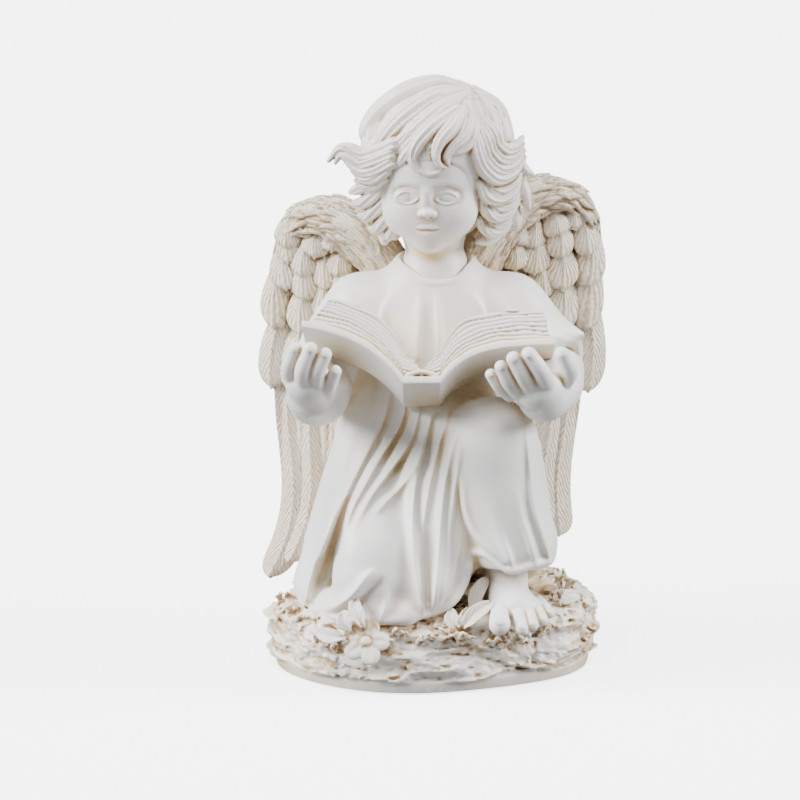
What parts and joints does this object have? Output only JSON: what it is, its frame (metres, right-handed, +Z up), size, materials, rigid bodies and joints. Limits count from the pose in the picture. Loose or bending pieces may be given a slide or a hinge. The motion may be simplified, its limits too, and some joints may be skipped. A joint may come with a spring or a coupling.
{
  "type": "garden statue",
  "caption": "Garden statue cast in one piece: a kneeling winged child in a long robe reads an open book, on a craggy oval rock with a flat underside.",
  "frame": {"origin": "middle of the rock's flat underside", "axes": "+Z up from the underside to the crown of the head, the angel faces -Y, +X to the viewer's right when seen from the front"},
  "size_m": [0.1218, 0.1028, 0.2001],
  "materials": {
    "ivory_cast": "satin ivory cast resin with a tan wash in the hollows"
  },
  "bodies": {
    "root": {"angel_statue": "ivory_cast"}
  },
  "joints": []
}
